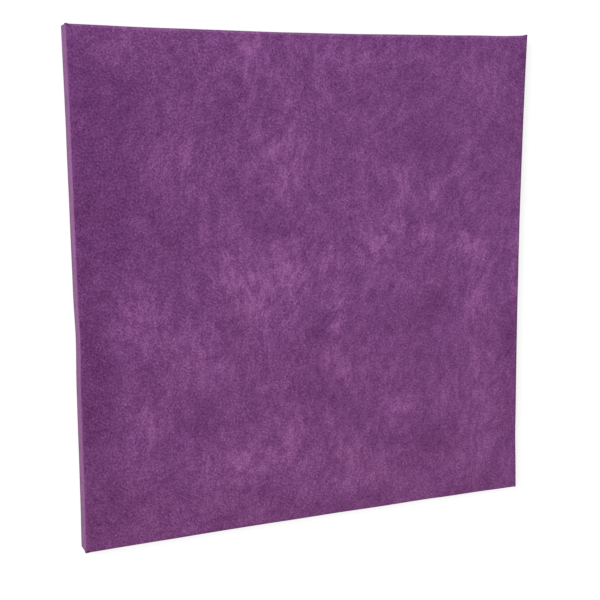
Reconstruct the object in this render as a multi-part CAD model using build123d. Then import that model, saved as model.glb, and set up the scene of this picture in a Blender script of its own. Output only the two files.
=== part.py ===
from build123d import *
from math import sqrt
import os

# A fabric-wrapped sound absorber, lying face up. Millimetres throughout.
# Width runs along X, height along Y and thickness along Z. The back rests on Z = 0.

# Overall sizes, measured over the cloth at the corners
panel_width = 609.6
panel_height = 609.6
panel_thickness = 25.4

# How far the tight cloth draws in the middle of each side
bow_bottom = 1.8
bow_right = 4.8
bow_top = 3.0
bow_left = 2.4

# Cloth
cloth_thickness = 0.9
return_depth = 31.75
back_fold_radius = 1.2
dust_cloth_thickness = 0.4
dust_cloth_margin = 5.0

# Timber frame
rail_width = 19.0
arris_radius = 3.2
back_ease = 0.8

# Fits
wrap_clearance = 0.2
board_clearance = 0.5

# How far an edge cutter runs past the corners, and stands off the faces that it meets
cutter_overrun = 10.0
cutter_spare = 1.0

# Insets from the outside of the panel, each built on the one before it
cavity_inset = cloth_thickness
rail_inset = cavity_inset + wrap_clearance
rail_inner_inset = rail_inset + rail_width
board_inset = rail_inner_inset + board_clearance
dust_cloth_inset = rail_inset + dust_cloth_margin

# Levels above the floor
dust_cloth_level = cloth_thickness
core_level = dust_cloth_level + dust_cloth_thickness
face_level = panel_thickness - cloth_thickness
core_depth = face_level - core_level

# The four sides, anticlockwise as seen from the front
side_names = ["bottom", "right", "top", "left"]
side_bows = [bow_bottom, bow_right, bow_top, bow_left]
front, back = 1, -1


def corner(side, inset):
    """Corner at which a side starts, the given distance in from both of the sides that meet there."""
    x = panel_width / 2 - inset
    y = panel_height / 2 - inset
    return [Vector(-x, -y), Vector(x, -y), Vector(x, y), Vector(-x, y)][side % 4]


def bowed_side(side, inset, overrun=0.0):
    """Parabola through a side's two corners, drawn in at its middle and run on past the corners."""
    start, end = corner(side, inset), corner(side + 1, inset)
    middle = (start + end) / 2
    along = (end - start).normalized()
    inward = along.rotate(Axis.Z, 90)
    reach = (end - start).length / 2 + overrun
    bow = side_bows[side]
    end_offset = bow * (1 - (2 * reach / (end - start).length) ** 2)
    control_offset = 2 * bow - end_offset
    return Bezier(
        middle - along * reach + inward * end_offset,
        middle + inward * control_offset,
        middle + along * reach + inward * end_offset,
    )


def slab(inset, level, depth):
    """Prism with the panel's four bowed sides, from a level upwards."""
    outline = make_face([bowed_side(side, inset) for side in range(4)])
    return Pos(0, 0, level) * extrude(outline, depth)


def round_edge(size, facing):
    """Quarter round that stands where an edge was, from the side to the face."""
    bite = size * (1 - sqrt(0.5))
    return ThreePointArc((-size, 0), (-bite, -bite * facing), (0, -size * facing))


def flat_edge(size, facing):
    """Small 45 degree flat that stands where an edge was, from the side to the face."""
    return Line((-size, 0), (0, -size * facing))


def edge_cutter(side, inset, level, size, facing, edge=round_edge):
    """What comes off a long edge to leave it round or flat; facing is front or back."""
    path = Pos(0, 0, level) * bowed_side(side, inset, cutter_overrun)
    section_plane = Plane(origin=path @ 0, x_dir=(0, 0, facing), z_dir=path % 0)
    spare = cutter_spare
    section = make_face([
        Line((0, -size * facing), (spare, -size * facing)),
        Line((spare, -size * facing), (spare, spare * facing)),
        Line((spare, spare * facing), (-size, spare * facing)),
        Line((-size, spare * facing), (-size, 0)),
        edge(size, facing),
    ])
    return sweep(section_plane * section, path=path)


def rounded(body, inset, level, radius, facing):
    """The body with its four long edges at a level rounded over and mitred at the corners."""
    for side in range(4):
        body -= edge_cutter(side, inset, level, radius, facing)
    return body


def frame_rail(side):
    """One rail, bowed with its side and mitred, rounded over in front and eased at the back."""
    outline = make_face([
        bowed_side(side, rail_inset),
        Line(corner(side + 1, rail_inset), corner(side + 1, rail_inner_inset)),
        bowed_side(side, rail_inner_inset),
        Line(corner(side, rail_inner_inset), corner(side, rail_inset)),
    ])
    rail = Pos(0, 0, core_level) * extrude(outline, core_depth)
    rail -= edge_cutter(side, rail_inset, face_level, arris_radius, front)
    rail -= edge_cutter(side, rail_inset, core_level, back_ease, back, flat_edge)
    return rail


def insulation_board():
    """Rigid board, as deep as the rails and a snug fit between them."""
    return slab(board_inset, core_level, core_depth)


def dust_cover():
    """Thin cloth across the back of the board and the rails."""
    return slab(dust_cloth_inset, dust_cloth_level, dust_cloth_thickness)


def fabric_cover():
    """Cloth over the face and the four sides, with its returns on the back and open inside them."""
    outside = slab(0, 0, panel_thickness)
    outside = rounded(outside, 0, panel_thickness, arris_radius + cloth_thickness, front)
    outside = rounded(outside, 0, 0, back_fold_radius, back)
    cavity = slab(cavity_inset, cloth_thickness, face_level - cloth_thickness)
    cavity = rounded(cavity, cavity_inset, face_level, arris_radius, front)
    window = slab(return_depth, -cutter_spare, cloth_thickness + 2 * cutter_spare)
    return outside - cavity - window


os.makedirs("parts", exist_ok=True)
export_step(fabric_cover(), "parts/fabric_cover.step")
export_step(dust_cover(), "parts/dust_cover.step")
export_step(insulation_board(), "parts/insulation_board.step")
for side, name in enumerate(side_names):
    export_step(frame_rail(side), f"parts/frame_rail_{name}.step")
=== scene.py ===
import math

import bmesh
import bpy
import numpy as np
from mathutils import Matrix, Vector, noise


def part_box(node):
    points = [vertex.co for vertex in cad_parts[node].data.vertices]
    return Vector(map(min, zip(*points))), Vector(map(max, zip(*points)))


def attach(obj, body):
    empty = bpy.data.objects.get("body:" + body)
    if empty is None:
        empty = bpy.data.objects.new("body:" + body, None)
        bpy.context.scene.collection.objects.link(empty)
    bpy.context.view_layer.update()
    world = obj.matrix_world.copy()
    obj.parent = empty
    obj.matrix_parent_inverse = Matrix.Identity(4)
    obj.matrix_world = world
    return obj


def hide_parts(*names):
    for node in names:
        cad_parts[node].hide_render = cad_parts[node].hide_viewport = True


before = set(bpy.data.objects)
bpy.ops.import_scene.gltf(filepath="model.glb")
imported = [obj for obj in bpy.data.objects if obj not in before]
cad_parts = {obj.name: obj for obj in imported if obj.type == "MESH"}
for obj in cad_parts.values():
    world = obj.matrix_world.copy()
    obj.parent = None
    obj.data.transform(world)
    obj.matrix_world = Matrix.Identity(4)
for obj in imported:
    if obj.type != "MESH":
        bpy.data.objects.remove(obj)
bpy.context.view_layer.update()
coverLow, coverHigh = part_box("fabric_cover")
print("frame loaded:", ", ".join(sorted(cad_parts)))

# The panel lies face up. Metres. Width runs along X, height along Y and thickness along Z.
halfWidth = coverHigh.x
halfHeight = coverHigh.y
thickness = coverHigh.z
upright = Vector((0, 0, 1))
mm = 0.001

# The four sides, anticlockwise as seen from the front, each from its first corner to its second
sides = [
    {"name": "bottom", "along": Vector((1, 0, 0)), "inward": Vector((0, 1, 0)), "folded": True},
    {"name": "right", "along": Vector((0, 1, 0)), "inward": Vector((-1, 0, 0)), "folded": False},
    {"name": "top", "along": Vector((-1, 0, 0)), "inward": Vector((0, -1, 0)), "folded": True},
    {"name": "left", "along": Vector((0, -1, 0)), "inward": Vector((1, 0, 0)), "folded": False},
]
for number, side in enumerate(sides):
    side["number"] = number
    side["half"] = halfHeight if number % 2 else halfWidth
    side["reach"] = halfWidth if number % 2 else halfHeight


def smooth(x):
    x = min(max(x, 0.0), 1.0)
    return x * x * (3 - 2 * x)


def ripple(*place):
    return noise.noise(Vector(place))


# Microsuede cover

cover = {
    "drawIn": {"bottom": 0.0018, "right": 0.0048, "top": 0.0035, "left": 0.0017},
    # Where staples pull a side in: place along it, half length and depth
    "pulledIn": {
        "left": (0.050, 0.035, 0.0013), "right": (-0.228, 0.040, 0.0008), "top": (-0.274, 0.028, 0.0010),
    },
    "edgeWave": 0.0004,
    "edgeWaveLength": 0.075,
    "frontRound": 0.0041,
    "backRound": 0.0012,
    "cloth": 0.0009,
    "returnDepth": 0.03175,
    "returnLevel": 0.00062,  # nap of the returns above the floor
    "faceWave": 0.00025,
    "faceWaveLength": 0.09,
    "sideHollow": 0.00015,
    "sideWave": 0.00014,
    "sideWaveLengths": (0.035, 0.02),  # along the side and down it
    "cutEdgeWave": 0.0007,
    "cutEdgeWaveLength": 0.03,
    "cutEdgeZone": 0.006,  # how far from the cut edge its wave starts
    "cutEdgeBulge": 0.0001,
    # Where each kind of ripple reads the noise, so that no two sides are alike
    "noiseRow": {"edge": 3.7, "return": 5.1, "side": 11.0, "cutEdge": 8.3},
    "squaresAcross": 150,
    "crowding": 0.55,  # how much closer the squares lie towards the edges
    "rows": {"front": 8, "side": 9, "back": 5, "return": 14},  # of squares down the section
    "innerInsets": (0.020, 0.008),  # rows of the wrong side on the returns
    "innerShares": (0.3, 0.65, 1.0),  # and down the sides, as shares of their depth
    "innerSteps": 4,  # and round the front edge
    "flankTurn": (60, 85),  # degrees of the front round between which the painted shading of the side sets in
    "flankRows": 4,  # rows of a return over which it fades
    "backShade": 0.6,  # share by which it is lost towards the back
    "backShadeFrom": 0.7,  # share of the depth where that starts
    "flatSize": (0.7239, 0.7239),  # as cut: face, two sides and two returns each way
}

# The folded corners, each at the end of its side, in millimetres. Where there are two values, the
# first is at the front and the second at the back. Tuck is the width of the cloth under the fold, and
# lift is how proud the fold stands, with the bulge more half way down. Over is how far it passes the
# corner, and round is where the bend round the corner starts. The crease value is the painted shade
# along the fold: how dark it is.
cornerFolds = {
    "bottom": {
        "tuck": (1.8, 6.7), "lift": (0.3, 0.3), "bulge": 0.5,
        "over": (-0.2, -0.2), "round": (1.2, 1.2), "creaseShade": -0.30,
    },
    "right": {
        "tuck": (1.4, 4.3), "lift": (1.0, 0.3), "bulge": 0.2,
        "over": (0.0, 0.0), "round": (1.2, 1.2), "creaseShade": -0.70,
    },
    "top": {
        "tuck": (1.8, 6.7), "lift": (0.3, 0.3), "bulge": 0.8,
        "over": (0.2, -3.0), "round": (1.2, 2.9), "creaseShade": -0.35,
    },
    "left": {
        "tuck": (1.8, 6.7), "lift": (0.3, 0.3), "bulge": 0.8,
        "over": (0.5, -3.0), "round": (1.2, 3.2), "creaseShade": -0.45,
    },
}

# What all four folds share, with lengths in metres
foldShape = {
    "creaseShadeWidth": 0.0026,  # how far from a fold its painted shade reaches
    "settled": 0.26,  # share of the depth by which it has its lift of the back
    "spread": 0.0026,  # how far past its tuck a fold levels out
    "narrowed": 0.6,  # share of its growth that the tuck loses again towards the cut edge
    "gapShare": 0.30,
    "pressedLift": 0.00045,  # on the back, where the panel lies on it
    "flatter": 2.5,  # and how much further it levels out there
    "arcSteps": 5,
    "tuckSteps": 4,
    "lipSteps": 6,
}

staples = {
    "inset": 0.0105,
    "endMargin": 0.045,
    "perSide": 9,
    "crown": 0.0100,
    "leg": 0.0080,
    "wireWidth": 0.0012,
    "wireThickness": 0.0005,
    "bend": 0.0006,
    "turn": 9.0,  # degrees, either way
    "level": 0.00050,
    "seed": 7,
    "lineSteps": 20,  # straight pieces of the bowed line that the staples of a side stand on
}

# The cloth of the returns between and under the staples
returnShape = {
    "dimple": 0.00022,
    "dimpleLong": 0.006,
    "dimpleWide": 0.005,
    "fan": 0.00010,  # how far the cloth stands up between staples
    "fanRise": 1.6,
    "fine": 0.00005,
    "fineLengths": (0.012, 0.02),
}


def drawnIn(side, t):
    # How far a side stands inside the straight line between its corners; t runs from -1 to 1
    along = t * side["half"]
    bow = cover["drawIn"][side["name"]] * (1 - t * t)
    place, long, deep = cover["pulledIn"].get(side["name"], (0.0, 1.0, 0.0))
    wave = deep * math.exp(-((along - place) / long) ** 2)
    row = cover["noiseRow"]["edge"] * side["number"]
    wave += cover["edgeWave"] * ripple(along / cover["edgeWaveLength"], row, 0.4)
    return bow + wave * (1 - t**8)


def outlinePoint(side, t, inset):
    out = inset + drawnIn(side, t) - side["reach"]
    return side["inward"] * out + side["along"] * (t * (side["half"] - inset))


sideDepth = thickness - cover["frontRound"] - cover["backRound"] - cover["returnLevel"]

# One level of the cloth's section: its place, the way it faces, how far it is along the cloth and
# down the side, and how much it has of each effect
plainLevel = {
    "inset": 0.0, "z": 0.0, "out": 0.0, "up": 0.0, "path": 0.0, "depth": 0.0, "turn": 0.0,
    "grow": 0.0, "pressed": 0.0, "side": 0.0, "bulge": 0.0, "flank": 0.0,
}


def coverLevels():
    # Section of the cloth from the edge of the face, over the side, to its cut edge on the back
    front, back = cover["frontRound"], cover["backRound"]
    floor = cover["returnLevel"]
    rows = cover["rows"]
    flankFrom, flankBy = cover["flankTurn"]
    levels = []
    for step in range(rows["front"] + 1):
        turn = math.pi / 2 * step / rows["front"]
        degrees = math.degrees(turn)
        levels.append(dict(
            plainLevel, inset=front * (1 - math.sin(turn)), z=thickness - front * (1 - math.cos(turn)),
            out=math.sin(turn), up=math.cos(turn), path=front * turn, turn=degrees,
            grow=smooth(math.sin(turn)), flank=smooth((degrees - flankFrom) / (flankBy - flankFrom)),
        ))
    around = front * math.pi / 2
    for step in range(1, rows["side"] + 1):
        share = step / rows["side"]
        depth = sideDepth * share
        levels.append(dict(
            plainLevel, z=thickness - front - depth, out=1.0, path=around + depth, depth=depth,
            grow=1.0, side=math.sin(math.pi * share), bulge=math.sin(math.pi * share**0.7), flank=1.0,
        ))
    around += sideDepth
    for step in range(1, rows["back"] + 1):
        turn = math.pi / 2 * step / rows["back"]
        levels.append(dict(
            plainLevel, inset=back * (1 - math.cos(turn)), z=floor + back * (1 - math.sin(turn)),
            out=math.cos(turn), up=-math.sin(turn), path=around + back * turn, depth=sideDepth,
            grow=1.0, pressed=math.sin(turn), flank=1.0,
        ))
    around += back * math.pi / 2
    for step in range(1, rows["return"] + 1):
        share = step / rows["return"]
        inset = back + (cover["returnDepth"] - back) * share
        levels.append(dict(
            plainLevel, inset=inset, z=floor, up=-1.0, path=around + inset - back,
            depth=sideDepth * (1 - foldShape["narrowed"] * share), grow=1.0, pressed=1.0,
            flank=1 - smooth(step / cover["flankRows"]),
        ))
    return levels


def towardsCut(level):
    # 0 at the back fold and 1 at the cut edge of a return
    return smooth(level["inset"] / cover["returnDepth"]) if level["up"] == -1.0 else 0.0


def between(pair, share):
    return (pair[0] + (pair[1] - pair[0]) * share) * mm


def foldAt(fold, level):
    # One corner's fold at one level: its tuck, height, gap, lip and ends, and the room for the bend
    depth = level["depth"] / sideDepth
    proud = between(fold["lift"], smooth(depth / foldShape["settled"]))
    proud += fold["bulge"] * level["bulge"] * mm
    lift = proud * (1 - level["pressed"]) + foldShape["pressedLift"] * level["pressed"]
    lift *= level["grow"]
    gap = lift * foldShape["gapShare"]
    lip = (lift - gap) / 2
    outer = level["grow"] * (1 - towardsCut(level))
    return {
        "tuck": between(fold["tuck"], depth) * level["grow"],
        "lift": lift,
        "gap": gap,
        "lip": lip,
        "start": lip - between(fold["over"], depth) * outer,
        "spread": foldShape["spread"] * (1 + foldShape["flatter"] * level["pressed"]),
        "room": between(fold["round"], depth * (1 - level["pressed"])) * outer,
    }


def foldsOf(side):
    # The folds at a side's first and second corners
    return cornerFolds[sides[side["number"] - 1]["name"]], cornerFolds[side["name"]]


def returnRelief(side, along, inset):
    # The cloth of the returns is pressed in at each staple and stands up a little between them
    shape = returnShape
    first = -side["half"] + staples["endMargin"]
    gap = -2 * first / (staples["perSide"] - 1)
    nearest = min(max(round((along - first) / gap), 0), staples["perSide"] - 1)
    away = (along - first - nearest * gap) / shape["dimpleLong"]
    across = (inset - staples["inset"]) / shape["dimpleWide"]
    pressed = shape["dimple"] * math.exp(-away * away - across * across)
    pucker = 0.5 - 0.5 * math.cos(2 * math.pi * (along - first) / gap)
    fan = shape["fan"] * pucker * smooth(inset / cover["returnDepth"] * shape["fanRise"])
    long, wide = shape["fineLengths"]
    fine = shape["fine"] * ripple(along / long, inset / wide, side["number"] * cover["noiseRow"]["return"])
    return fan + fine - pressed


def clothRelief(side, t, level):
    # The cloth's own hollows and waves, which die out at the corners
    along = t * side["half"]
    if level["up"] == -1.0:
        relief = returnRelief(side, along, level["inset"])
    else:
        long, deep = cover["sideWaveLengths"]
        waves = ripple(along / long, level["path"] / deep, cover["noiseRow"]["side"] + side["number"])
        relief = cover["sideWave"] * waves * level["grow"] * (1 - level["pressed"])
        relief -= cover["sideHollow"] * level["side"]
    return relief * (1 - t**12)


def surfacePoint(side, t, level, proud):
    normal = side["inward"] * -level["out"] + upright * level["up"]
    return outlinePoint(side, t, level["inset"]) + upright * level["z"] + normal * proud


def flatPoint(side, t, level):
    # Where a point of the cloth lies on the flat cloth, before it is wrapped
    edge = outlinePoint(side, t, cover["frontRound"])
    return edge - side["inward"] * level["path"]


def sideColumns(side, level, spacing, plain):
    startFold, endFold = (foldAt(fold, level) for fold in foldsOf(side))
    half = side["half"] - level["inset"]
    begins = "start" if side["folded"] else "room"
    starts = [0.0, 0.0] if plain else [startFold[begins], endFold[begins]]
    trim = (level["inset"] - cover["returnDepth"]) / cover["cutEdgeZone"] + 1
    places, flats = [], []
    for t in spacing:
        at = -half + starts[0] + (2 * half - sum(starts)) * (t + 1) / 2
        proud = 0.0 if plain else clothRelief(side, t, level)
        if side["folded"] and not plain:
            for fold, distance in ((startFold, half + at), (endFold, half - at)):
                proud += fold["lift"] * (1 - smooth((distance - fold["tuck"]) / fold["spread"]))
        place = surfacePoint(side, at / half, level, proud)
        if trim > 0:
            row = cover["noiseRow"]["cutEdge"] * side["number"]
            wander = cover["cutEdgeWave"] * ripple(at / cover["cutEdgeWaveLength"], row, 2.0)
            place += side["inward"] * (wander * trim * (1 - t**8))
        places.append(place)
        flats.append(flatPoint(side, t, level))
    return places, flats


def cornerColumns(side, level, plain):
    # The columns between the end of a side and the start of the next, which go round the corner and
    # through its fold
    after = sides[(side["number"] + 1) % 4]
    folded, flush = (side, after) if side["folded"] else (after, side)
    end = 1 if folded is side else -1
    fold = foldAt(cornerFolds[side["name"]], level)
    half = {id(s): s["half"] - level["inset"] for s in (folded, flush)}
    corner = surfacePoint(folded, end, level, 0.0)
    faceCorner = outlinePoint(folded, end, cover["frontRound"])
    deep = -flush["inward"] * level["path"]
    wide = -folded["inward"]
    steps = foldShape
    count = steps["arcSteps"] + 2 * steps["tuckSteps"] + 1 + steps["lipSteps"]
    if plain:
        flat = faceCorner + deep
        return [corner] * count, [flat] * count

    def onFolded(distance, proud):
        return surfacePoint(folded, end * (1 - distance / half[id(folded)]), level, proud)

    room = fold["room"]
    before = surfacePoint(flush, -end * (1 - room / half[id(flush)]), level, 0.0)
    beyond = onFolded(room, 0.0)
    places, flats = [], []
    for step in range(1, steps["arcSteps"] + 1):  # round the corner
        s = step / steps["arcSteps"]
        places.append(before * (1 - s) ** 2 + corner * (2 * s * (1 - s)) + beyond * s**2)
        flats.append(faceCorner + deep + wide * (room * s))
    for step in range(1, steps["tuckSteps"] + 1):  # in under the fold
        s = room + (fold["tuck"] - room) * step / steps["tuckSteps"]
        places.append(onFolded(s, 0.0))
        flats.append(faceCorner + deep + wide * s)
    places.append(onFolded(fold["tuck"] + fold["gap"] / 2, fold["gap"] / 2))
    flats.append(faceCorner + deep + wide * fold["tuck"])
    for step in range(steps["tuckSteps"]):  # and back out again
        s = fold["tuck"] + (fold["start"] - fold["tuck"]) * step / (steps["tuckSteps"] - 1)
        places.append(onFolded(s, fold["gap"]))
        flats.append(faceCorner - flush["inward"] * s + wide * level["path"])
    for step in range(1, steps["lipSteps"] + 1):  # round the lip
        turn = math.pi * step / (steps["lipSteps"] + 1) - math.pi / 2
        distance = fold["start"] - fold["lip"] * math.cos(turn)
        places.append(onFolded(distance, fold["gap"] + fold["lip"] * (1 + math.sin(turn))))
        flats.append(faceCorner + wide * level["path"])
    if folded is side:
        places.reverse()
        flats.reverse()
    return places, flats


def paintedCreaseShade(side, level, t):
    # Painted shade along each fold, and where the cloth of a folded side runs up to it
    if not side["folded"] and t < 1:
        return 0.0
    paintedShading = 0.0
    for fold, distance in zip(foldsOf(side), ((1 + t) * side["half"], (1 - t) * side["half"])):
        paintedShading += fold["creaseShade"] * math.exp(-(distance / foldShape["creaseShadeWidth"]) ** 2)
    return paintedShading * min(1.0, 2 * level["grow"])


def ring(level, spacing, plain=False):
    # One closed loop of points round the panel, with the painted light and shade of the side that each
    # is on, and of the creases
    places, flats, paintedShades = [], [], []
    for side in sides:
        after = sides[(side["number"] + 1) % 4]
        for more in (sideColumns(side, level, spacing, plain), cornerColumns(side, level, plain)):
            places += more[0]
            flats += more[1]
        paintedShades += [paintedSideShading(side, level, t) + paintedCreaseShade(side, level, t) for t in spacing]
        bend = foldShape["arcSteps"]
        folds = len(places) - len(paintedShades) - bend
        first, last = (folds, bend) if side["folded"] else (bend, folds)
        creaseShade = paintedCreaseShade(side, level, 1)
        paintedShades += [paintedSideShading(side, level, 1) + creaseShade] * first + [paintedSideShading(after, level, -1) + creaseShade] * last
    return places, flats, paintedShades


def faceGrid(spacing, level):
    # Squares across the face, whose outer rows lie on the four drawn-in sides
    inset = cover["frontRound"]
    long = cover["faceWaveLength"]
    bottom, right, top, left = sides
    places = []
    for v in spacing:
        for u in spacing:
            x = u * (halfWidth - inset)
            x += drawnIn(left, -v) * (1 - u) / 2 - drawnIn(right, v) * (1 + u) / 2
            y = v * (halfHeight - inset)
            y += drawnIn(bottom, u) * (1 - v) / 2 - drawnIn(top, -u) * (1 + v) / 2
            rise = cover["faceWave"] * ripple(x / long, y / long, 1.5) * (1 - u**6) * (1 - v**6)
            places.append(Vector((x, y, level + rise)))
    return places


def innerLevels():
    # The wrong side of the cloth, which lies on the frame and the board
    wall, front = cover["cloth"], cover["frontRound"]
    radius = front - wall
    places = [(inset, wall) for inset in (cover["returnDepth"], *cover["innerInsets"], wall)]
    places += [(wall, wall + (thickness - front - wall) * share) for share in cover["innerShares"]]
    for step in range(1, cover["innerSteps"] + 1):
        turn = math.pi / 2 * (1 - step / cover["innerSteps"])
        places.append((front - radius * math.sin(turn), thickness - front + radius * math.cos(turn)))
    return [dict(plainLevel, inset=inset, z=z, path=inset) for inset, z in places]


def joinRings(rings, columns):
    faces = []
    for row in range(rings - 1):
        for column in range(columns):
            following = (column + 1) % columns
            a, b = row * columns + column, row * columns + following
            faces.append((a, a + columns, b + columns, b))
    return faces


def gridFaces(first, across, turned=False):
    faces = []
    for row in range(across):
        for column in range(across):
            a = first + row * (across + 1) + column
            face = (a, a + 1, a + across + 2, a + across + 1)
            faces.append(face[::-1] if turned else face)
    return faces


# Painted light and shade on each side, lighter where the side faces the light and darker where it
# turns away: on the rounded front edge, which has its full tone from a turn in degrees, on the side
# itself, and on the back fold
sidePaintedShading = {
    "bottom": {"edge": -0.08, "fullFrom": 32, "flank": -0.08, "fold": -0.08},
    "right": {"edge": -0.32, "fullFrom": 22, "flank": -0.08, "fold": -0.08},
    "top": {"edge": 0.16, "fullFrom": 20, "flank": 0.00, "fold": -0.05},
    "left": {"edge": -0.06, "fullFrom": 25, "flank": 0.29, "fold": -0.10},
}
# Where a side has more painted light still: place along it, half length and strength
sideExtraLight = {"left": (-0.10, 0.15, 0.12)}


# Painted light and shade of a side at one level of its section and at t along it
def paintedSideShading(side, level, t):
    sideShading = sidePaintedShading[side["name"]]
    place, long, extraLight = sideExtraLight.get(side["name"], (0.0, 1.0, 0.0))
    flank = sideShading["flank"] + extraLight * math.exp(-((t * side["half"] - place) / long) ** 2)
    depth, shadeFrom = level["depth"] / sideDepth, cover["backShadeFrom"]
    flank *= 1 - cover["backShade"] * smooth((depth - shadeFrom) / (1 - shadeFrom))
    onSide = flank * (1 - level["pressed"]) + sideShading["fold"] * level["pressed"]
    onEdge = sideShading["edge"] * smooth(level["turn"] / sideShading["fullFrom"])
    return onEdge * (1 - level["flank"]) + onSide * level["flank"]


# Where the nap is brushed lighter, in millimetres on the face from its centre:
# x, y, half length, half width, turn in degrees, strength
lighterNap = [
    (-78, -14, 46, 20, 90, 1.00), (-38, 8, 42, 17, 98, 1.00), (-118, 27, 28, 15, 80, 1.00),
    (12, 16, 20, 16, 0, 0.75), (78, 42, 42, 17, -52, 0.88), (112, 74, 28, 16, 60, 0.70),
    (115, 128, 26, 13, 90, 0.70), (168, 112, 28, 13, 30, 0.62), (152, 50, 18, 12, 0, 0.60),
    (225, 33, 20, 18, 0, 0.80), (297, 30, 70, 13, 90, 0.80), (-88, 272, 32, 16, 90, 0.75),
    (2, 262, 30, 13, 80, 0.65), (72, 280, 30, 12, -20, 0.45), (-60, 163, 18, 16, 0, 0.72),
    (-44, 124, 24, 9, 80, 0.65), (-170, 152, 32, 12, 102, 0.60), (-236, -20, 26, 20, 60, 0.65),
    (-178, -70, 46, 19, -35, 0.65), (-222, -168, 26, 26, 0, 0.40), (-42, -187, 27, 18, 45, 0.75),
    (-72, -226, 50, 17, 0, 0.42), (60, -263, 28, 14, 0, 0.60), (120, -166, 26, 16, 0, 0.60),
    (28, -38, 48, 11, 95, 0.80), (27, -108, 30, 13, -60, 0.50), (230, -40, 30, 15, 90, 0.70),
    (238, -150, 50, 34, 90, 0.40), (228, -245, 34, 20, 0, 0.35), (235, 235, 40, 26, 40, 0.25),
    (-30, 170, 60, 12, 95, 0.45), (-120, -218, 40, 24, 10, 0.42), (35, -230, 70, 16, 0, 0.30),
]
# Darker patches, given the same way; the last three are strips along the face's left, bottom and right
# edges
darkerNap = [
    (-262, 212, 50, 36, 0, 0.60), (-258, 122, 62, 44, 90, 0.45), (-262, 50, 46, 36, 90, 0.45),
    (-190, 55, 50, 26, 90, 0.50), (-120, 214, 28, 16, 60, 0.50), (132, 222, 44, 22, -55, 0.50),
    (160, 165, 36, 22, 90, 0.50), (128, -52, 60, 34, 0, 0.34), (170, -37, 18, 15, 0, 0.50),
    (0, -60, 22, 9, 90, 0.80), (2, -145, 36, 12, -30, 0.70), (-145, -150, 34, 20, 60, 0.50),
    (-285, -100, 70, 22, 90, 0.60), (-262, -255, 34, 16, -65, 0.60), (170, -232, 42, 26, 0, 0.50),
    (286, -82, 32, 13, 90, 0.60), (156, -150, 44, 14, 90, 0.35), (-70, 68, 30, 18, 0, 0.45),
    (-302, 0, 500, 30, 90, 0.50), (0, -300, 500, 30, 0, 0.20), (300, 0, 500, 40, 90, 0.22),
]

# Ragged borders of the patches: length of each ripple in metres, and its reach in millimetres along X
# and Y with the places where it reads the noise
napBorders = (
    {"length": 0.032, "reach": (13, 16), "rows": (4.0, 9.0)},
    {"length": 0.011, "reach": (6, 7), "rows": (5.0, 8.0)},
)


def napAt(flat):
    # How light the nap lies at a place on the flat cloth
    x, y = flat.x / mm, flat.y / mm
    for border in napBorders:
        long = border["length"]
        x += border["reach"][0] * ripple(flat.x / long, flat.y / long, border["rows"][0])
        y += border["reach"][1] * ripple(flat.x / long, flat.y / long, border["rows"][1])
    total = 0.0
    for sign, patches in ((1, lighterNap), (-1, darkerNap)):
        for atX, atY, long, wide, turn, strength in patches:
            c, s = math.cos(math.radians(turn)), math.sin(math.radians(turn))
            dx, dy = x - atX, y - atY
            a, b = (dx * c + dy * s) / long, (dy * c - dx * s) / wide
            total += sign * strength * math.exp(-(a * a + b * b))
    return total


def meshPiece(name, places, faces, material):
    mesh = bpy.data.meshes.new(name)
    mesh.from_pydata([tuple(p) for p in places], [], faces)
    piece = bpy.data.objects.new(name, mesh)
    bpy.context.scene.collection.objects.link(piece)
    mesh.materials.append(material)
    return piece


def writeValues(mesh, name, values):
    layer = mesh.attributes.new(name, "FLOAT", "POINT")
    layer.data.foreach_set("value", np.array(values, np.float32))


def writeFlatMap(mesh, flats):
    layer = mesh.uv_layers.new(name="flatCloth")
    corners = np.zeros(len(mesh.loops), np.int32)
    mesh.loops.foreach_get("vertex_index", corners)
    layer.uv.foreach_set("vector", np.array(flats, np.float32)[corners].ravel())


def closeMesh(mesh, apart=1e-6):
    # Merges the points that meet, and turns every face outwards
    work = bmesh.new()
    work.from_mesh(mesh)
    bmesh.ops.remove_doubles(work, verts=work.verts, dist=apart)
    bmesh.ops.dissolve_degenerate(work, edges=work.edges, dist=apart)
    bmesh.ops.recalc_face_normals(work, faces=work.faces)
    for face in work.faces:
        face.smooth = True
    work.to_mesh(mesh)
    work.free()


def makeCover(material):
    across = cover["squaresAcross"]
    crowding = cover["crowding"]
    even = np.linspace(-1, 1, across + 1)
    spacing = [float(t) for t in (1 - crowding) * even + crowding * np.sin(even * math.pi / 2)]
    places, flats, paintedShades = [], [], []
    outer = coverLevels()
    middle = (cover["returnLevel"] + cover["cloth"]) / 2
    cutEdge = dict(outer[-1], z=middle, inset=cover["returnDepth"] + cover["cutEdgeBulge"])
    levels = outer + [cutEdge] + innerLevels()
    for number, level in enumerate(levels):
        at, flat, paintedShading = ring(level, spacing, plain=number >= len(outer))
        places += at
        flats += flat
        paintedShades += paintedShading
    faces = joinRings(len(levels), len(at))
    for level, turned in ((thickness, False), (thickness - cover["cloth"], True)):
        grid = faceGrid(spacing, level)
        faces += gridFaces(len(places), across, turned)
        places += grid
        flats += grid
        paintedShades += [0.0] * len(grid)
    piece = meshPiece("microsuedeCover", places, faces, material)
    writeValues(piece.data, "napLie", [napAt(flat) for flat in flats])
    # Painted light and shade of the sides and creases
    writeValues(piece.data, "paintedSideShading", paintedShades)
    writeFlatMap(piece.data, [(flat.x, flat.y) for flat in flats])
    closeMesh(piece.data)
    return piece


# Dust cloth across the back

dustCloth = {
    "inset": 0.0061,
    "low": 0.00093,
    "high": 0.00128,
    "squaresAcross": 70,
    "sag": 0.00035,
    "held": 0.12,  # share of the half width over which the rails hold it flat
    "slackWaves": ((0.5, 0.07, 0.05, 3.0), (0.35, 0.02, 0.03, 6.0)),  # share, lengths and noise row
}


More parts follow.
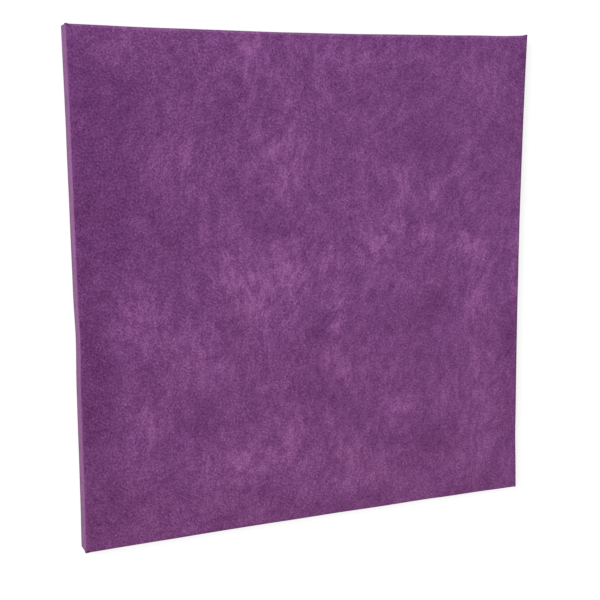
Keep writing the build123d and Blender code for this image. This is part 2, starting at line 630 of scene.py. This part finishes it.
def makeDustCloth(material):
    across = dustCloth["squaresAcross"]
    spacing = [float(t) for t in np.linspace(-1, 1, across + 1)]
    places = []
    for level, slack in ((dustCloth["low"], -dustCloth["sag"]), (dustCloth["high"], 0.0)):
        for v in spacing:
            for u in spacing:
                x, y = u * (halfWidth - dustCloth["inset"]), v * (halfHeight - dustCloth["inset"])
                x -= u * abs(u) * cover["drawIn"]["right" if u > 0 else "left"] * (1 - v * v)
                y -= v * abs(v) * cover["drawIn"]["top" if v > 0 else "bottom"] * (1 - u * u)
                waves = 0.5
                for share, long, wide, row in dustCloth["slackWaves"]:
                    waves += share * ripple(x / long, y / wide, row)
                free = smooth((1 - max(abs(u), abs(v))) / dustCloth["held"])
                places.append(Vector((x, y, level + slack * free * waves)))
    rows = across + 1
    count = rows * rows
    faces = gridFaces(0, across, True) + gridFaces(count, across)
    loop = list(range(across))
    loop += [row * rows + across for row in range(across)]
    loop += [across * rows + across - column for column in range(across)]
    loop += [(across - row) * rows for row in range(across)]
    for a, b in zip(loop, loop[1:] + loop[:1]):
        faces.append((a, b, b + count, a + count))
    piece = meshPiece("dustCloth", places, faces, material)
    writeFlatMap(piece.data, [(p.x, p.y) for p in places])
    closeMesh(piece.data)
    return piece


# Nodes, each with its inputs as links or values


def addNode(tree, kind, inputs=None, **settings):
    node = tree.nodes.new(kind)
    for name, value in settings.items():
        setattr(node, name, value)
    for name, value in (inputs or {}).items():
        socket = node.inputs[name]
        if isinstance(value, bpy.types.NodeSocket):
            tree.links.new(value, socket)
        else:
            socket.default_value = value
    return node


# Staples through the returns into the rails, placed along each side by Geometry Nodes


def stapleTree():
    tree = bpy.data.node_groups.new("stapleRows", "GeometryNodeTree")
    face = tree.interface
    face.new_socket(name="Rows", in_out="INPUT", socket_type="NodeSocketGeometry")
    for name in ("Crown", "Leg", "Wire width", "Wire thickness", "Bend", "Turn"):
        face.new_socket(name=name, in_out="INPUT", socket_type="NodeSocketFloat")
    for name in ("Per side", "Seed"):
        face.new_socket(name=name, in_out="INPUT", socket_type="NodeSocketInt")
    face.new_socket(name="Finish", in_out="INPUT", socket_type="NodeSocketMaterial")
    face.new_socket(name="Staples", in_out="OUTPUT", socket_type="NodeSocketGeometry")
    given = addNode(tree, "NodeGroupInput").outputs
    wire = addNode(tree, "GeometryNodeCurvePrimitiveQuadrilateral", {
        "Width": given["Leg"], "Height": given["Crown"],
    })
    opened = addNode(tree, "GeometryNodeSetSplineCyclic", {
        "Geometry": wire.outputs["Curve"], "Cyclic": False,
    })
    bent = addNode(tree, "GeometryNodeFilletCurve", {
        "Curve": opened.outputs["Geometry"], "Radius": given["Bend"], "Count": 3,
    }, mode="POLY")
    section = addNode(tree, "GeometryNodeCurvePrimitiveQuadrilateral", {
        "Width": given["Wire thickness"], "Height": given["Wire width"],
    })
    solid = addNode(tree, "GeometryNodeCurveToMesh", {
        "Curve": bent.outputs["Curve"], "Profile Curve": section.outputs["Curve"], "Fill Caps": True,
    })
    half = addNode(tree, "ShaderNodeMath", {0: given["Leg"], 1: 0.5}, operation="MULTIPLY")
    drop = addNode(tree, "ShaderNodeCombineXYZ", {"Z": half.outputs[0]})
    stood = addNode(tree, "GeometryNodeTransform", {
        "Geometry": solid.outputs["Mesh"], "Translation": drop.outputs[0],
        "Rotation": (math.radians(90), math.radians(-90), 0.0),
    })
    rows = addNode(tree, "GeometryNodeMeshToCurve", {"Mesh": given["Rows"]})
    spots = addNode(tree, "GeometryNodeResampleCurve", {
        "Curve": rows.outputs["Curve"], "Count": given["Per side"],
    })
    along = addNode(tree, "FunctionNodeAlignRotationToVector", {
        "Vector": addNode(tree, "GeometryNodeInputTangent").outputs[0],
    }, axis="X")
    least = addNode(tree, "ShaderNodeMath", {0: given["Turn"], 1: -1.0}, operation="MULTIPLY")
    chance = addNode(tree, "FunctionNodeRandomValue", {
        "Min": least.outputs[0], "Max": given["Turn"], "Seed": given["Seed"],
    }, data_type="FLOAT")
    swing = addNode(tree, "FunctionNodeAxisAngleToRotation", {
        "Axis": (0.0, 0.0, 1.0), "Angle": chance.outputs[1],
    })
    turned = addNode(tree, "FunctionNodeRotateRotation", {
        "Rotation": along.outputs[0], "Rotate By": swing.outputs[0],
    }, rotation_space="LOCAL")
    placed = addNode(tree, "GeometryNodeInstanceOnPoints", {
        "Points": spots.outputs["Curve"], "Instance": stood.outputs["Geometry"],
        "Rotation": turned.outputs[0],
    })
    real = addNode(tree, "GeometryNodeRealizeInstances", {"Geometry": placed.outputs[0]})
    finished = addNode(tree, "GeometryNodeSetMaterial", {
        "Geometry": real.outputs[0], "Material": given["Finish"],
    })
    addNode(tree, "NodeGroupOutput", {"Staples": finished.outputs[0]})
    return tree


def makeStaples(material):
    places, edges = [], []
    steps = staples["lineSteps"]
    for side in sides:
        limit = 1 - staples["endMargin"] / side["half"]
        for step in range(steps + 1):
            at = outlinePoint(side, limit * (2 * step / steps - 1), staples["inset"])
            places.append((at.x, at.y, staples["level"]))
            if step:
                edges.append((len(places) - 2, len(places) - 1))
    rows = bpy.data.meshes.new("stapleRows")
    rows.from_pydata(places, edges, [])
    maker = bpy.data.objects.new("stapleRows", rows)
    bpy.context.scene.collection.objects.link(maker)
    tree = stapleTree()
    modifier = maker.modifiers.new("stapleRows", "NODES")
    modifier.node_group = tree
    given = {
        "Crown": staples["crown"], "Leg": staples["leg"], "Wire width": staples["wireWidth"],
        "Wire thickness": staples["wireThickness"], "Bend": staples["bend"],
        "Turn": math.radians(staples["turn"]), "Per side": staples["perSide"],
        "Seed": staples["seed"], "Finish": material,
    }
    for item in tree.interface.items_tree:
        if item.item_type == "SOCKET" and item.in_out == "INPUT" and item.name in given:
            modifier[item.identifier] = given[item.name]
    bpy.context.view_layer.update()
    solid = bpy.data.meshes.new_from_object(maker.evaluated_get(bpy.context.evaluated_depsgraph_get()))
    bpy.data.objects.remove(maker)
    piece = bpy.data.objects.new("returnStaples", solid)
    bpy.context.scene.collection.objects.link(piece)
    return piece


# Finishes


def newMaterial(name):
    material = bpy.data.materials.new(name)
    material.use_nodes = True
    tree = material.node_tree
    tree.nodes.clear()
    shader = addNode(tree, "ShaderNodeBsdfPrincipled")
    addNode(tree, "ShaderNodeOutputMaterial", {"Surface": shader.outputs[0]})
    return material, tree, shader


def weighed(tree, parts, start=0.0):
    # A sum of values, each times its own weight
    total = start
    for value, weight in parts:
        step = addNode(tree, "ShaderNodeMath", {0: value, 1: weight, 2: total}, operation="MULTIPLY_ADD")
        total = step.outputs[0]
    return total


def colourRamp(tree, value, stops):
    ramp = addNode(tree, "ShaderNodeValToRGB", {"Fac": value})
    marks = ramp.color_ramp.elements
    while len(marks) < len(stops):
        marks.new(0.5)
    for mark, (place, colour) in zip(marks, stops):
        mark.position = place
        mark.color = (*colour, 1.0)
    return ramp.outputs["Color"]


def fleckGroup():
    # Fine fibre flecks, longer one way than the other, for every cloth and the board
    tree = bpy.data.node_groups.new("fibreFlecks", "ShaderNodeTree")
    face = tree.interface
    face.new_socket(name="Place", in_out="INPUT", socket_type="NodeSocketVector")
    for name in ("Fineness", "Stretch", "Turn"):
        face.new_socket(name=name, in_out="INPUT", socket_type="NodeSocketFloat")
    face.new_socket(name="Flecks", in_out="OUTPUT", socket_type="NodeSocketFloat")
    given = addNode(tree, "NodeGroupInput").outputs
    spun = addNode(tree, "ShaderNodeVectorRotate", {
        "Vector": given["Place"], "Angle": given["Turn"],
    }, rotation_type="Z_AXIS")
    shorter = addNode(tree, "ShaderNodeMath", {0: 1.0, 1: given["Stretch"]}, operation="DIVIDE")
    factor = addNode(tree, "ShaderNodeCombineXYZ", {"X": 1.0, "Y": shorter.outputs[0], "Z": 1.0})
    drawn = addNode(tree, "ShaderNodeVectorMath", {
        0: spun.outputs[0], 1: factor.outputs[0],
    }, operation="MULTIPLY")
    flecks = addNode(tree, "ShaderNodeTexNoise", {
        "Vector": drawn.outputs[0], "Scale": given["Fineness"], "Detail": 3.0, "Roughness": 0.72,
    })
    addNode(tree, "NodeGroupOutput", {"Flecks": flecks.outputs[0]})
    return tree


def flecks(tree, group, place, fineness, stretch, turn):
    node = addNode(tree, "ShaderNodeGroup", node_tree=group)
    tree.links.new(place, node.inputs["Place"])
    node.inputs["Fineness"].default_value = fineness
    node.inputs["Stretch"].default_value = stretch
    node.inputs["Turn"].default_value = math.radians(turn)
    return node.outputs["Flecks"]


def noiseAt(tree, place, scale, detail, roughness=0.5):
    node = addNode(tree, "ShaderNodeTexNoise", {
        "Vector": place, "Scale": scale, "Detail": detail, "Roughness": roughness,
    })
    return node.outputs[0]


def shadesOf(tree, value, look):
    # From a finish's dark shade, through its middle one, to its light one
    return colourRamp(tree, value, [(0.0, look["dark"]), (0.5, look["middle"]), (1.0, look["light"])])


def giveSurface(tree, shader, colour, rough, height, strength, distance):
    bump = addNode(tree, "ShaderNodeBump", {
        "Height": height, "Strength": strength, "Distance": distance,
    })
    tree.links.new(colour, shader.inputs["Base Color"])
    tree.links.new(rough, shader.inputs["Roughness"])
    tree.links.new(bump.outputs[0], shader.inputs["Normal"])


# In each finish below, flecks have their fineness, stretch and turn in degrees

microsuede = {
    "dark": (0.074, 0.012, 0.075),
    "middle": (0.167, 0.049, 0.175),
    "light": (0.331, 0.121, 0.319),
    # How much each kind of mottling counts
    "patches": 0.23,
    "clouds": 0.74,
    "dabs": 0.12,
    "brushing": 0.43,
    "speckle": 2.00,
    # And how each is made
    "cloudScale": 22.0,
    "swayScale": 6.0,
    "sway": (0.08, 0.08, 0.0),
    "strokes": (82.0, 2.1, 4.0),
    "upright": (190.0, 2.8, 8.0),
    "slanted": (160.0, 3.0, 62.0),
    "specks": (430.0, 1.0, 33.0),
    "fibres": (1500.0, 2.0, 20.0),
    "dabRange": (0.40, 0.60),
    "dabBreak": (0.8, 0.6),  # how much the dabs break up a patch, and how much of it stays
    "warmer": (1.00, 0.985, 0.955),  # the tint at the foot of the panel, and where it wanders
    "cooler": (1.00, 1.00, 1.055),  # and at its head
    "tintScale": 14.0,
}


def makeMicrosuede(group):
    material, tree, shader = newMaterial("microsuede")
    look = microsuede
    place = addNode(tree, "ShaderNodeUVMap", uv_map="flatCloth").outputs[0]
    lie = addNode(tree, "ShaderNodeAttribute", attribute_name="napLie").outputs["Fac"]
    # Painted light and shade of the sides and creases, made with the cover
    paintedShading = addNode(tree, "ShaderNodeAttribute", attribute_name="paintedSideShading").outputs["Fac"]
    clouds = addNode(tree, "ShaderNodeTexNoise", {
        "Vector": place, "Scale": look["cloudScale"], "Detail": 7.0, "Roughness": 0.78, "Distortion": 0.35,
    }).outputs[0]
    sway = addNode(tree, "ShaderNodeTexNoise", {
        "Vector": place, "Scale": look["swayScale"], "Detail": 1.0,
    }).outputs["Color"]
    swayed = addNode(tree, "ShaderNodeVectorMath", {
        0: sway, 1: look["sway"], 2: place,
    }, operation="MULTIPLY_ADD").outputs[0]
    strokes = flecks(tree, group, swayed, *look["strokes"])
    upright = flecks(tree, group, swayed, *look["upright"])
    slanted = flecks(tree, group, swayed, *look["slanted"])
    speckle = flecks(tree, group, place, *look["specks"])
    dabs = addNode(tree, "ShaderNodeMapRange", {
        "Value": strokes, "From Min": look["dabRange"][0], "From Max": look["dabRange"][1],
    }, interpolation_type="SMOOTHSTEP").outputs[0]
    breaks, stays = look["dabBreak"]
    broken = addNode(tree, "ShaderNodeMath", {
        0: lie, 1: weighed(tree, [(dabs, breaks)], stays),
    }, operation="MULTIPLY").outputs[0]
    shade = weighed(tree, [
        (broken, look["patches"]), (clouds, look["clouds"]), (dabs, look["dabs"]),
        (upright, look["brushing"]), (slanted, look["brushing"]), (speckle, look["speckle"]), (paintedShading, 1.0),
    ], 0.5 - 0.5 * (look["clouds"] + look["dabs"] + 2 * look["brushing"] + look["speckle"]))
    # Warmer towards the foot of the panel and cooler towards its head, with a wander
    wander = noiseAt(tree, place, look["tintScale"], 4.0)
    upwards = addNode(tree, "ShaderNodeSeparateXYZ", {0: place}).outputs["Y"]
    tintShift = weighed(tree, [(upwards, 1.6), (wander, 1.2)], -0.1)
    tint = colourRamp(tree, tintShift, [(0.0, look["warmer"]), (1.0, look["cooler"])])
    dyed = addNode(tree, "ShaderNodeVectorMath", {
        0: shadesOf(tree, shade, look), 1: tint,
    }, operation="MULTIPLY").outputs[0]
    fibres = flecks(tree, group, place, *look["fibres"])
    rough = weighed(tree, [(speckle, 0.12), (clouds, -0.10)], 0.86)
    height = weighed(tree, [(speckle, 0.6), (fibres, 0.4)])
    giveSurface(tree, shader, dyed, rough, height, 0.3, 0.0004)
    shader.inputs["Specular IOR Level"].default_value = 0.12
    shader.inputs["Sheen Weight"].default_value = 0.5
    shader.inputs["Sheen Roughness"].default_value = 0.38
    shader.inputs["Sheen Tint"].default_value = (1.0, 0.66, 0.90, 1.0)
    return material


blackCloth = {
    "dark": (0.010, 0.010, 0.011),
    "middle": (0.030, 0.030, 0.032),
    "light": (0.085, 0.084, 0.086),
    "dotScale": 700.0,
    "dotScatter": 0.15,
    "dustScale": 9.0,
    "threads": (380.0, 5.0, 15.0),
    "crossed": (420.0, 5.0, -50.0),
}


def makeBlackCloth(group):
    material, tree, shader = newMaterial("dustClothBlack")
    look = blackCloth
    place = addNode(tree, "ShaderNodeUVMap", uv_map="flatCloth").outputs[0]
    dots = addNode(tree, "ShaderNodeTexVoronoi", {
        "Vector": place, "Scale": look["dotScale"], "Randomness": look["dotScatter"],
    }).outputs["Distance"]
    threads = flecks(tree, group, place, *look["threads"])
    crossed = flecks(tree, group, place, *look["crossed"])
    dust = noiseAt(tree, place, look["dustScale"], 5.0, 0.65)
    shade = weighed(tree, [(dots, 0.55), (threads, 0.35), (crossed, 0.35), (dust, 0.4)], -0.35)
    rough = weighed(tree, [(dots, 0.2)], 0.78)
    height = weighed(tree, [(dots, 0.7), (threads, 0.3)])
    giveSurface(tree, shader, shadesOf(tree, shade, look), rough, height, 0.5, 0.0003)
    shader.inputs["Specular IOR Level"].default_value = 0.25
    return material


mineralWool = {
    "dark": (0.20, 0.15, 0.06),
    "middle": (0.42, 0.36, 0.18),
    "light": (0.66, 0.60, 0.38),
    "layers": (260.0, 7.0, 90.0),
    "crossed": (330.0, 5.0, 35.0),
    "lumpScale": 45.0,
}


def makeWool(group):
    material, tree, shader = newMaterial("mineralWool")
    look = mineralWool
    place = addNode(tree, "ShaderNodeTexCoord").outputs["Object"]
    layers = flecks(tree, group, place, *look["layers"])
    crossed = flecks(tree, group, place, *look["crossed"])
    lumps = noiseAt(tree, place, look["lumpScale"], 6.0, 0.7)
    shade = weighed(tree, [(layers, 0.6), (crossed, 0.5), (lumps, 0.5)], -0.3)
    rough = weighed(tree, [(lumps, 0.1)], 0.88)
    height = weighed(tree, [(layers, 0.5), (crossed, 0.3), (lumps, 0.6)])
    giveSurface(tree, shader, shadesOf(tree, shade, look), rough, height, 0.8, 0.0012)
    return material


pine = {
    "earlyWood": (0.70, 0.54, 0.33),
    "middleWood": (0.60, 0.42, 0.23),
    "lateWood": (0.40, 0.23, 0.10),
    "middleAt": 0.55,
    "grainStretch": 0.06,
    "ringScale": 70.0,
    "wanderScale": 40.0,
    "poreScale": 900.0,
}


def makePine(name, turn, shift):
    # Planed pine, with the grain along X, or along Y where it is turned by 90 degrees. Its shift gives
    # each rail a stretch of wood of its own.
    material, tree, shader = newMaterial(name)
    look = pine
    place = addNode(tree, "ShaderNodeTexCoord").outputs["Object"]
    lengthwise = addNode(tree, "ShaderNodeMapping", {
        "Vector": place, "Location": (shift, 0.3 * shift, 0.02),
        "Rotation": (0.0, 0.0, math.radians(turn)),
    }).outputs[0]
    drawn = addNode(tree, "ShaderNodeMapping", {
        "Vector": lengthwise, "Scale": (look["grainStretch"], 1.0, 1.0),
    }).outputs[0]
    wander = noiseAt(tree, drawn, look["wanderScale"], 3.0)
    rings = addNode(tree, "ShaderNodeTexWave", {
        "Vector": drawn, "Scale": look["ringScale"], "Distortion": 3.5, "Detail": 2.0, "Detail Scale": 1.2,
    }, bands_direction="Z", wave_profile="SAW").outputs["Fac"]
    pores = noiseAt(tree, drawn, look["poreScale"], 3.0, 0.6)
    shade = weighed(tree, [(rings, 0.55), (wander, 0.35), (pores, 0.2)], -0.05)
    colour = colourRamp(tree, shade, [
        (0.0, look["earlyWood"]), (look["middleAt"], look["middleWood"]), (1.0, look["lateWood"]),
    ])
    rough = weighed(tree, [(rings, -0.12), (pores, 0.15)], 0.55)
    height = weighed(tree, [(rings, 0.3), (pores, 0.7)])
    giveSurface(tree, shader, colour, rough, height, 0.35, 0.0003)
    return material


stapleWire = {
    "dark": (0.34, 0.34, 0.35),
    "middle": (0.55, 0.55, 0.56),
    "light": (0.74, 0.74, 0.75),
    "spangleScale": 900.0,
    "dullScale": 60.0,
}


def makeStapleWire():
    material, tree, shader = newMaterial("stapleWire")
    look = stapleWire
    place = addNode(tree, "ShaderNodeTexCoord").outputs["Object"]
    spangle = noiseAt(tree, place, look["spangleScale"], 4.0, 0.7)
    dull = noiseAt(tree, place, look["dullScale"], 2.0)
    shade = weighed(tree, [(spangle, 0.6), (dull, 0.5)], -0.05)
    rough = weighed(tree, [(spangle, 0.3), (dull, 0.2)], 0.12)
    giveSurface(tree, shader, shadesOf(tree, shade, look), rough, spangle, 0.2, 0.0001)
    shader.inputs["Metallic"].default_value = 1.0
    return material


# Studio: camera, lamps and a plain white floor

studio = {
    "camera": (-0.63452, 0.19227, 1.34101),
    "turn": (-9.64, -23.985, -0.573),  # degrees
    "lens": 71.16,
    "sensor": 36.0,
    "shift": (0.0326, 0.0531),
    "sunFrom": (-0.66, 0.30, 0.69),
    "sunLevel": 2.72,
    "sunSoftness": 24.0,  # degrees
    "skyLevel": 0.40,
    "floorColour": 0.28,
    "floorWhite": 0.76,
    "floorSize": 12.0,
}


def makeCamera():
    lens = bpy.data.cameras.new("studioCamera")
    lens.lens = studio["lens"]
    lens.sensor_width = studio["sensor"]
    lens.shift_x, lens.shift_y = studio["shift"]
    camera = bpy.data.objects.new("studioCamera", lens)
    camera.location = studio["camera"]
    camera.rotation_euler = [math.radians(angle) for angle in studio["turn"]]
    bpy.context.scene.collection.objects.link(camera)
    bpy.context.scene.camera = camera


def seenDirectly(tree):
    # 1 for what the camera sees, straight or in metal and glass, and 0 for light on the object
    path = addNode(tree, "ShaderNodeLightPath").outputs
    shiny = addNode(tree, "ShaderNodeMath", {
        0: path["Is Camera Ray"], 1: path["Is Glossy Ray"],
    }, operation="MAXIMUM").outputs[0]
    return addNode(tree, "ShaderNodeMath", {
        0: shiny, 1: path["Is Transmission Ray"],
    }, operation="MAXIMUM").outputs[0]


def makeLights():
    lamp = bpy.data.lights.new("softKey", "SUN")
    lamp.energy = studio["sunLevel"]
    lamp.angle = math.radians(studio["sunSoftness"])
    key = bpy.data.objects.new("softKey", lamp)
    key.rotation_euler = Vector(studio["sunFrom"]).to_track_quat("Z", "Y").to_euler()
    bpy.context.scene.collection.objects.link(key)
    world = bpy.data.worlds.new("studioWhite")
    world.use_nodes = True
    tree = world.node_tree
    tree.nodes.clear()
    soft = addNode(tree, "ShaderNodeBackground", {"Color": (1, 1, 1, 1), "Strength": studio["skyLevel"]})
    white = addNode(tree, "ShaderNodeBackground", {"Color": (1, 1, 1, 1), "Strength": 1.0})
    mixed = addNode(tree, "ShaderNodeMixShader", {
        0: seenDirectly(tree), 1: soft.outputs[0], 2: white.outputs[0],
    })
    addNode(tree, "ShaderNodeOutputWorld", {"Surface": mixed.outputs[0]})
    bpy.context.scene.world = world


def makeFloor():
    material, tree, shader = newMaterial("paleFloor")
    pale = studio["floorColour"]
    shader.inputs["Base Color"].default_value = (pale, pale, pale, 1.0)
    shader.inputs["Roughness"].default_value = 1.0
    shader.inputs["Specular IOR Level"].default_value = 0.0
    glow = addNode(tree, "ShaderNodeMath", {
        0: seenDirectly(tree), 1: studio["floorWhite"],
    }, operation="MULTIPLY")
    shader.inputs["Emission Color"].default_value = (1.0, 1.0, 1.0, 1.0)
    tree.links.new(glow.outputs[0], shader.inputs["Emission Strength"])
    half = studio["floorSize"] / 2
    corners = [Vector((x * half, y * half, 0)) for x, y in ((-1, -1), (1, -1), (1, 1), (-1, 1))]
    floor = meshPiece("studioFloor", corners, [(0, 1, 2, 3)], material)


makeCamera()
makeLights()
makeFloor()
print("studio ready")

fleckNodes = fleckGroup()
coverPiece = makeCover(makeMicrosuede(fleckNodes))
print("cover made:", len(coverPiece.data.polygons), "faces")
dustPiece = makeDustCloth(makeBlackCloth(fleckNodes))
print("dust cloth made:", len(dustPiece.data.polygons), "faces")
staplePiece = makeStaples(makeStapleWire())
print("staples made:", len(staplePiece.data.polygons), "faces")

finishes = {
    "insulation_board": makeWool(fleckNodes),
    "frame_rail_bottom": makePine("pineBottom", 0, 0.11),
    "frame_rail_top": makePine("pineTop", 0, 0.47),
    "frame_rail_left": makePine("pineLeft", 90, 0.83),
    "frame_rail_right": makePine("pineRight", 90, 1.29),
}
for node, material in finishes.items():
    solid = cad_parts[node]
    solid.data.materials.clear()
    solid.data.materials.append(material)
print("rails and board finished")

for piece, slot in ((coverPiece, "microsuede"), (dustPiece, "dust_cloth"), (staplePiece, "staple_steel")):
    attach(piece, "root")
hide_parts("fabric_cover")
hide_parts("dust_cover")

bpy.context.scene.view_settings.view_transform = "Standard"
